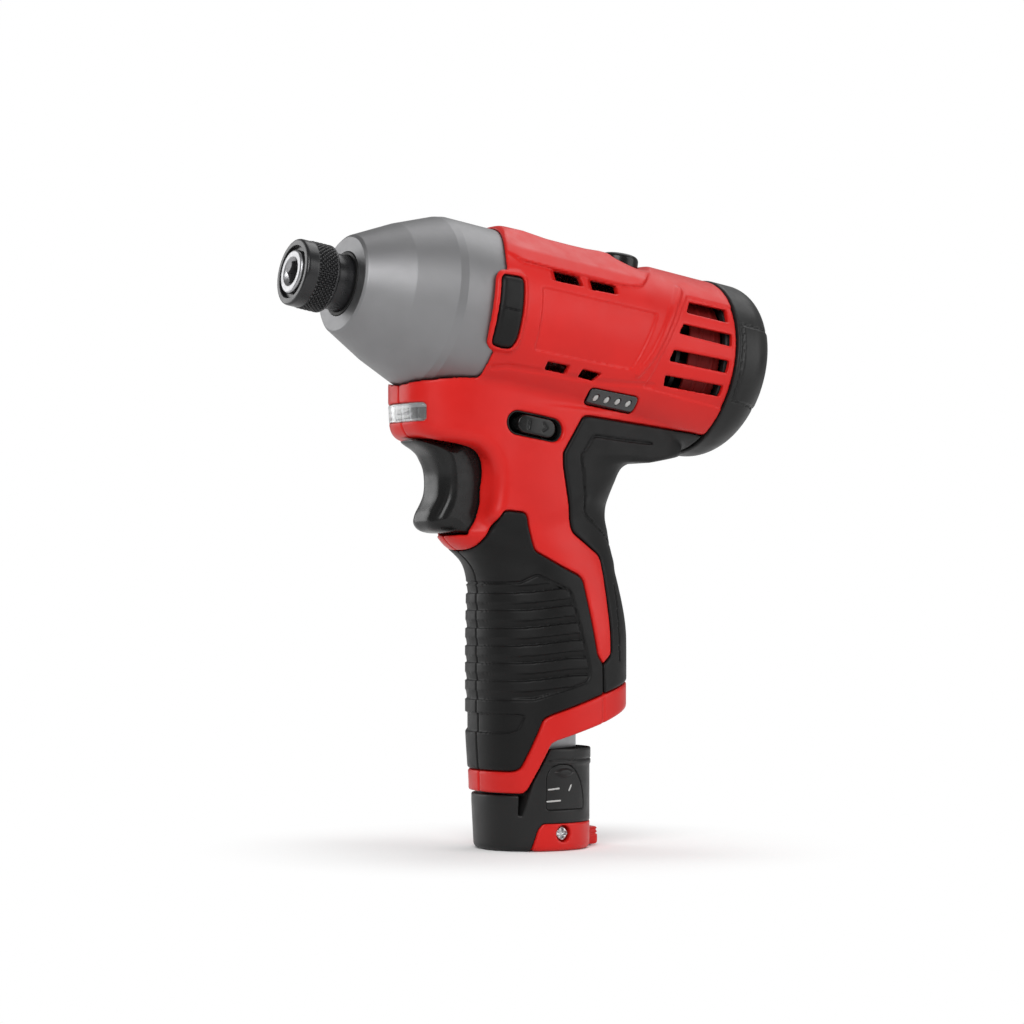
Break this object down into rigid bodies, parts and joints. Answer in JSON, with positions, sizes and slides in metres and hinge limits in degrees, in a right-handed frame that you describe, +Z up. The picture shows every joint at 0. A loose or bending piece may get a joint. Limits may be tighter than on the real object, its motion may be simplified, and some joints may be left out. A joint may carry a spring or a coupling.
{
  "type": "impact driver",
  "caption": "Compact pistol-grip impact driver with a hex quick-change collet, vented barrel, rubber grip, trigger and a stick battery that slides out of the handle.",
  "frame": {"origin": "middle of the flat bottom of the battery foot", "axes": "+X forward to the nose, +Y to the tool's left side, +Z up"},
  "size_m": [0.156, 0.0562, 0.1867],
  "materials": {
    "red_plastic": "satin moulded",
    "black_plastic": "fine textured",
    "grip_rubber": "soft matte",
    "gloss_black": "polished",
    "cast_aluminium": "satin cast",
    "black_steel": "black oxide",
    "steel": "ground",
    "copper": "lacquered wire",
    "contact_brass": "stamped",
    "magnet": "dull sintered",
    "clear_lens": "clear",
    "circuit_board": "lacquered",
    "cell_wrap": "shrink wrapped"
  },
  "bodies": {
    "housing": {"left_housing": "red_plastic", "right_housing": "red_plastic", "rear_cap": "black_plastic", "switch_body": "black_plastic", "motor_end_bell": "black_plastic", "left_grip": "grip_rubber", "right_grip": "grip_rubber", "left_palm_grip": "grip_rubber", "right_palm_grip": "grip_rubber", "left_bumper": "grip_rubber", "right_bumper": "grip_rubber", "nose_seal": "grip_rubber", "gauge_panel": "gloss_black", "gear_case": "cast_aluminium", "gearbox_plate": "cast_aluminium", "nose_bush": "black_steel", "housing_screws": "black_steel", "rear_cap_screws": "black_steel", "ring_gear": "steel", "camshaft_bearing": "steel", "motor_bearings": "steel", "motor_can": "steel", "trigger_spring": "steel", "tool_terminals": "contact_brass", "motor_magnets": "magnet", "brushes": "magnet", "work_light_lens": "clear_lens", "work_light_board": "circuit_board"},
    "output": {"anvil": "steel", "retaining_balls": "steel", "retaining_ring": "steel", "collet_spring": "steel"},
    "sleeve": {"collet_sleeve": "black_steel"},
    "camshaft": {"camshaft": "steel", "planet_pins": "steel", "cam_balls": "steel", "hammer_spring": "steel"},
    "hammer": {"hammer": "steel"},
    "planet_1": {"planet_gear_1": "steel"},
    "planet_2": {"planet_gear_2": "steel"},
    "planet_3": {"planet_gear_3": "steel"},
    "rotor": {"motor_shaft": "steel", "pinion": "steel", "rotor_core": "steel", "rotor_winding": "copper", "commutator": "copper", "cooling_fan": "black_plastic"},
    "trigger": {"trigger": "black_plastic", "switch_plunger": "black_plastic"},
    "slider": {"direction_slider": "black_plastic"},
    "button": {"mode_button": "gloss_black"},
    "battery": {"battery_shell": "black_plastic", "battery_base": "red_plastic", "battery_stem": "steel", "battery_cells": "cell_wrap", "battery_cap": "black_plastic", "battery_screws": "black_steel"},
    "left_latch": {"left_latch": "black_plastic"},
    "right_latch": {"right_latch": "black_plastic"}
  },
  "joints": [
    {"name": "camshaft_spin", "type": "hinge", "parent": "housing", "child": "camshaft", "pos_m": [0.02151, 0, 0.15854], "axis": [0.9867, 0, 0.1625], "continuous": true},
    {"name": "anvil_spin", "type": "hinge", "parent": "housing", "child": "output", "pos_m": [0.08071, 0, 0.16829], "axis": [0.9867, 0, 0.1625], "continuous": true},
    {"name": "rotor_spin", "type": "hinge", "parent": "housing", "child": "rotor", "pos_m": [-0.00809, 0, 0.15367], "axis": [0.9867, 0, 0.1625], "continuous": true},
    {"name": "planet_1_spin", "type": "hinge", "parent": "camshaft", "child": "planet_1", "pos_m": [0.01778, 0, 0.16887], "axis": [0.9867, 0, 0.1625], "continuous": true},
    {"name": "planet_2_spin", "type": "hinge", "parent": "camshaft", "child": "planet_2", "pos_m": [0.02041, 0.00935, 0.15289], "axis": [0.9867, 0, 0.1625], "continuous": true},
    {"name": "planet_3_spin", "type": "hinge", "parent": "camshaft", "child": "planet_3", "pos_m": [0.02041, -0.00935, 0.15289], "axis": [0.9867, 0, 0.1625], "continuous": true},
    {"name": "hammer_slide", "type": "slide", "parent": "camshaft", "child": "hammer", "axis": [-0.9867, 0, -0.1625], "range_m": [0, 0.006], "stiffness_N_per_m": 3000, "springref_m": -0.003, "deforming": ["hammer_spring"]},
    {"name": "sleeve_slide", "type": "slide", "parent": "output", "child": "sleeve", "axis": [0.9867, 0, 0.1625], "range_m": [0, 0.003], "stiffness_N_per_m": 400, "springref_m": -0.002, "deforming": ["collet_spring"]},
    {"name": "trigger_slide", "type": "slide", "parent": "housing", "child": "trigger", "axis": [-1, 0, 0], "range_m": [0, 0.006], "stiffness_N_per_m": 500, "springref_m": -0.002, "deforming": ["trigger_spring"]},
    {"name": "direction_slide", "type": "slide", "parent": "housing", "child": "slider", "axis": [0, 1, 0], "range_m": [-0.0025, 0.0025]},
    {"name": "mode_button_press", "type": "slide", "parent": "housing", "child": "button", "axis": [0.1625, 0, -0.9867], "range_m": [0, 0.001], "stiffness_N_per_m": 100, "springref_m": -0.001},
    {"name": "battery_slide", "type": "slide", "parent": "housing", "child": "battery", "axis": [0, 0, -1], "range_m": [0, 0.06]},
    {"name": "left_latch_press", "type": "slide", "parent": "battery", "child": "left_latch", "axis": [0, -1, 0], "range_m": [0, 0.0015], "stiffness_N_per_m": 150, "springref_m": -0.001},
    {"name": "right_latch_press", "type": "slide", "parent": "battery", "child": "right_latch", "axis": [0, 1, 0], "range_m": [0, 0.0015], "stiffness_N_per_m": 150, "springref_m": -0.001}
  ],
  "couplings": [
    {"joint": "anvil_spin", "follows": "camshaft_spin", "ratio": 1},
    {"joint": "rotor_spin", "follows": "camshaft_spin", "ratio": 6},
    {"joint": "planet_1_spin", "follows": "camshaft_spin", "ratio": -2.5},
    {"joint": "planet_2_spin", "follows": "camshaft_spin", "ratio": -2.5},
    {"joint": "planet_3_spin", "follows": "camshaft_spin", "ratio": -2.5}
  ]
}
